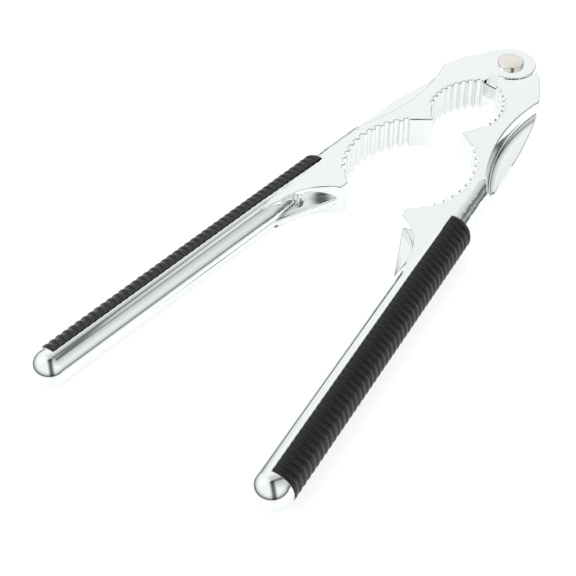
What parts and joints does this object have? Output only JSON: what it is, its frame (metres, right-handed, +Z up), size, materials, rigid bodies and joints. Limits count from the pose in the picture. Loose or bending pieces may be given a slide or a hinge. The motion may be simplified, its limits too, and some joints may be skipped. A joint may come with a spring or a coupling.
{
  "type": "nutcracker",
  "caption": "Hand-held nutcracker with two hinged chromed arms, a small and a large toothed jaw, and ribbed rubber sleeves on the handles.",
  "frame": {"origin": "under the middle of the plan view, on the surface the nutcracker lies on", "axes": "+Y from the handles to the pivot, +X to the right arm seen from above, +Z up along the pivot's axis"},
  "size_m": [0.0814, 0.191, 0.0124],
  "materials": {
    "chrome": "mirror",
    "sleeve_rubber": "matte",
    "rivet_steel": "polished nickel",
    "washer_steel": "plain"
  },
  "bodies": {
    "left": {"left_arm": "chrome", "left_sleeve": "sleeve_rubber", "pivot_rivet": "rivet_steel", "ear_washer": "washer_steel"},
    "right": {"right_arm": "chrome", "right_sleeve": "sleeve_rubber"}
  },
  "joints": [
    {"name": "pivot_hinge", "type": "hinge", "parent": "left", "child": "right", "pos_m": [0, 0.08758, 0.00595], "axis": [0, 0, 1], "range_deg": [-13.5, 100]}
  ]
}
